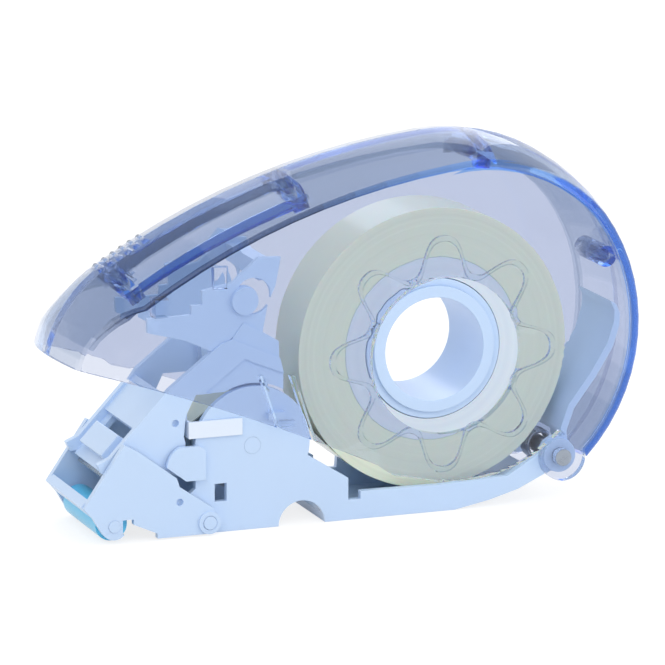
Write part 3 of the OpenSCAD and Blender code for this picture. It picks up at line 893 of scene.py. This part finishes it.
@dataclass
class Studio:
    """Floor, white surround, soft lamps and the camera.

    Attributes:
        camera_at: Place of the camera in metres.
        camera_look: Direction that the camera looks in.
        lens: Focal length in millimetres.
        sensor: Width of the sensor in millimetres.
        clip: Distance in metres from which things show.
        floor_size: Side of the floor in metres.
        floor_drop: How far the floor lies below the object, in millimetres.
        floor_shown: Linear colour of the floor as the eye sees it, without its glow.
        floor_glow: Strength of the glow that makes the floor white to the eye.
        floor_light: Linear colour of the floor as light on the object.
        surround: Strength of the surround as light on the object.
        lamps: The soft lamps.
    """

    camera_at: Vector = field(default_factory=lambda: mm(-328.53, -831.25, 229.92))
    camera_look: Vector = field(default_factory=lambda: Vector((0.343, 0.914, -0.218)))
    lens: float = 280.0
    sensor: float = 36.0
    clip: float = 0.01
    floor_size: float = 3.0
    floor_drop: float = 0.05
    floor_shown: Colour = (0.3, 0.3, 0.3)
    floor_glow: float = 0.78
    floor_light: Colour = (0.8, 0.8, 0.8)
    surround: float = 0.68
    lamps: tuple[Lamp, ...] = (
        Lamp("key", (-0.35, -0.55, 0.60), size=0.5, power=1.5),
        Lamp("top", (0.05, 0.0, 0.80), size=0.6, power=1.2),
        Lamp("fill", (0.5, -0.6, 0.30), size=0.5, power=1.5),
        Lamp("rim", (0.2, 0.6, 0.5), size=0.5, power=1.4),
    )

    def build(self) -> None:
        """Builds the whole studio."""
        self._camera()
        self._surround()
        self._floor()
        for lamp in self.lamps:
            lamp.build()
        bpy.context.scene.view_settings.view_transform = "Standard"

    def _camera(self) -> None:
        """Places the camera at the picture's viewing angle."""
        data = bpy.data.cameras.new("camera")
        data.lens = self.lens
        data.sensor_width = self.sensor
        data.clip_start = self.clip
        camera = bpy.data.objects.new("camera", data)
        camera.location = self.camera_at
        camera.rotation_euler = self.camera_look.to_track_quat("-Z", "Y").to_euler()
        bpy.context.scene.collection.objects.link(camera)
        bpy.context.scene.camera = camera

    @staticmethod
    def _seen(tree: bpy.types.NodeTree) -> bpy.types.NodeSocket:
        """A mask of the rays that show the background.

        Args:
            tree: Node tree that gets the nodes.

        Returns:
            Socket that is 1 for camera, glossy and transmission rays.
        """
        path = tree.nodes.new("ShaderNodeLightPath")
        first = math_node(tree, "MAXIMUM")
        second = math_node(tree, "MAXIMUM")
        tree.links.new(path.outputs["Is Camera Ray"], first.inputs[0])
        tree.links.new(path.outputs["Is Glossy Ray"], first.inputs[1])
        tree.links.new(first.outputs[0], second.inputs[0])
        tree.links.new(path.outputs["Is Transmission Ray"], second.inputs[1])
        return second.outputs[0]

    def _surround(self) -> None:
        """Makes the world white to the eye and a soft light to the object."""
        world = bpy.data.worlds.new("white_surround")
        world.use_nodes = True
        tree = world.node_tree
        shown = tree.nodes["Background"]
        shown.inputs["Color"].default_value = opaque(WHITE)
        shown.inputs["Strength"].default_value = 1.0
        light = tree.nodes.new("ShaderNodeBackground")
        light.inputs["Color"].default_value = opaque(WHITE)
        light.inputs["Strength"].default_value = self.surround
        mixed = tree.nodes.new("ShaderNodeMixShader")
        link = tree.links.new
        link(self._seen(tree), mixed.inputs["Fac"])
        link(light.outputs["Background"], mixed.inputs[1])
        link(shown.outputs["Background"], mixed.inputs[2])
        link(mixed.outputs["Shader"], tree.nodes["World Output"].inputs["Surface"])
        bpy.context.scene.world = world

    def _floor(self) -> None:
        """Lays a pale floor that is white to the eye and keeps the object's shadow."""
        bm = bmesh.new()
        bmesh.ops.create_grid(bm, x_segments=1, y_segments=1, size=self.floor_size / 2)
        bmesh.ops.translate(bm, verts=bm.verts, vec=mm(0.0, 0.0, -self.floor_drop))
        mesh = bpy.data.meshes.new("floor_mesh")
        bm.to_mesh(mesh)
        bm.free()
        material, paint = start_material("pale_floor")
        tree = material.node_tree
        paint.inputs["Base Color"].default_value = opaque(self.floor_shown)
        paint.inputs["Roughness"].default_value = 1.0
        paint.inputs["Specular IOR Level"].default_value = 0.0
        glow = tree.nodes.new("ShaderNodeEmission")
        glow.inputs["Strength"].default_value = self.floor_glow
        both = tree.nodes.new("ShaderNodeAddShader")
        plain = tree.nodes.new("ShaderNodeBsdfDiffuse")
        plain.inputs["Color"].default_value = opaque(self.floor_light)
        mixed = tree.nodes.new("ShaderNodeMixShader")
        link = tree.links.new
        link(paint.outputs["BSDF"], both.inputs[0])
        link(glow.outputs["Emission"], both.inputs[1])
        link(self._seen(tree), mixed.inputs["Fac"])
        link(plain.outputs["BSDF"], mixed.inputs[1])
        link(both.outputs["Shader"], mixed.inputs[2])
        link(mixed.outputs["Shader"], tree.nodes["Material Output"].inputs["Surface"])
        mesh.materials.append(material)
        floor = bpy.data.objects.new("floor", mesh)
        bpy.context.scene.collection.objects.link(floor)


@dataclass
class PressCover:
    """The two clear halves of the press cover."""

    far: ClearHalf = field(
        default_factory=lambda: ClearHalf("cover_far", Body.PRESS_COVER, Slot.CLEAR, strength=0.35)
    )
    near: ClearHalf = field(
        default_factory=lambda: ClearHalf("cover_near", Body.NEAR_HALF, Slot.CLEAR)
    )
    finish: ClearFinish = ClearFinish("clear_blue_plastic")

    def build(self) -> None:
        """Builds both halves."""
        material = self.finish.make()
        self.far.build(material)
        self.near.build(material)


@dataclass
class WhiteFrame:
    """The frame that stands still, with its posts, pins, leaves, pawl and spring."""

    white: bpy.types.Material
    steel: bpy.types.Material
    leaf: PlasticFinish = PlasticFinish("gloss_white_leaf", (0.76, 0.84, 0.96), 0.15, coat=0.4)

    def build(self) -> None:
        """Builds the frame's pieces and dresses its small parts."""
        Moulding("base_frame", Body.BASE, Slot.WHITE).build(self.white)
        Moulding("reel_post", Body.BASE, Slot.WHITE).build(self.white)
        Moulding("return_leaves", Body.BASE, Slot.WHITE, ease=0.1).build(self.leaf.make())
        Moulding("pawl", Body.BASE, Slot.WHITE, ease=0.1).build(self.white)
        Moulding("arm_pins", Body.BASE, Slot.WHITE, ease=0.15).build(self.white)
        dress("drum_axle", self.white)
        for node in ("cover_pivot_pin", "cover_spring"):
            dress(node, self.steel)


@dataclass
class CutterHead:
    """The cutter lever with its blade and blade clamp."""

    white: bpy.types.Material
    steel: bpy.types.Material

    def build(self) -> None:
        """Builds the lever and clamp and dresses the blade."""
        Moulding("cutter_lever", Body.CUTTER, Slot.WHITE).build(self.white)
        Moulding("blade_clamp", Body.CUTTER, Slot.WHITE).build(self.white)
        dress("blade", self.steel)


@dataclass
class RollerArm:
    """The swing arm and its press roller."""

    white: bpy.types.Material
    # The sleeve's sky blue is its own colour, lifted a little as painted light where the arm
    # shades the roller.
    sleeve: PlasticFinish = PlasticFinish(
        "sky_blue_rubber_with_painted_light", (0.12, 0.64, 0.97), 0.30, mottle=0.08, coat=0.15
    )

    def build(self) -> None:
        """Builds the arm, its axle and the roller."""
        ChamferedArm("roller_arm", Body.ARM, Slot.WHITE).build(self.white)
        Moulding("roller_axle", Body.ARM, Slot.WHITE, ease=0.15).build(self.white)
        Moulding("roller_core", Body.PRESS_ROLLER, Slot.WHITE, ease=0.1).build(self.white)
        Moulding("roller_sleeve", Body.PRESS_ROLLER, Slot.BLUE_RUBBER, ease=0.15).build(
            self.sleeve.make()
        )


@dataclass
class FeedDrum:
    """The feed drum with its ratchet and rubber sleeve."""

    white: bpy.types.Material
    sleeve: PlasticFinish = PlasticFinish(
        "pale_grey_rubber", (0.5, 0.58, 0.66), 0.5, mottle=0.08, bump=0.15
    )

    def build(self) -> None:
        """Builds the drum and its sleeve."""
        Moulding("feed_drum", Body.DRUM, Slot.WHITE, ease=0.1).build(self.white)
        Moulding("drum_sleeve", Body.DRUM, Slot.GREY_RUBBER, ease=0.15).build(self.sleeve.make())


@dataclass
class TapeReel:
    """The reel hub, the tape core, the roll and the free length of tape."""

    white: bpy.types.Material
    roll: WoundFinish = WoundFinish(
        "wound_tape",
        light=(0.79, 0.83, 0.67),
        dark=(0.73, 0.77, 0.62),
        axis="tape_roll",
        rings_per_metre=1100.0,
        roughness=0.25,
        coat=0.2,
        subsurface=0.3,
    )
    core: WoundFinish = WoundFinish(
        "milky_core",
        light=(0.72, 0.78, 0.84),
        dark=(0.65, 0.72, 0.80),
        axis="tape_core",
        rings_per_metre=250.0,
        roughness=0.4,
        subsurface=0.2,
    )
    strip: PlasticFinish = PlasticFinish("tape_strip", (0.66, 0.70, 0.58), 0.2, coat=0.4)

    def build(self) -> None:
        """Builds the reel's pieces."""
        Moulding("reel_hub", Body.REEL, Slot.WHITE).build(self.white)
        Moulding("tape_core", Body.REEL, Slot.CORE, ease=0.15).build(self.core.make())
        Moulding("tape_roll", Body.REEL, Slot.TAPE, ease=0.1).build(self.roll.make())
        Moulding("tape_lead", Body.BASE, Slot.TAPE, ease=0.0).build(self.strip.make())


def main() -> None:
    """Builds the dispenser and its studio in order."""
    logging.basicConfig(level=logging.INFO, format="%(message)s")
    white = PlasticFinish(
        "pale_blue_white_plastic", (0.56, 0.71, 0.94), 0.32, mottle=0.05, subsurface=0.1
    ).make()
    steel = SteelFinish("ground_steel").make()
    WhiteFrame(white, steel).build()
    TapeReel(white).build()
    FeedDrum(white).build()
    CutterHead(white, steel).build()
    RollerArm(white).build()
    PressCover().build()
    Studio().build()


if __name__ == "__main__":
    main()
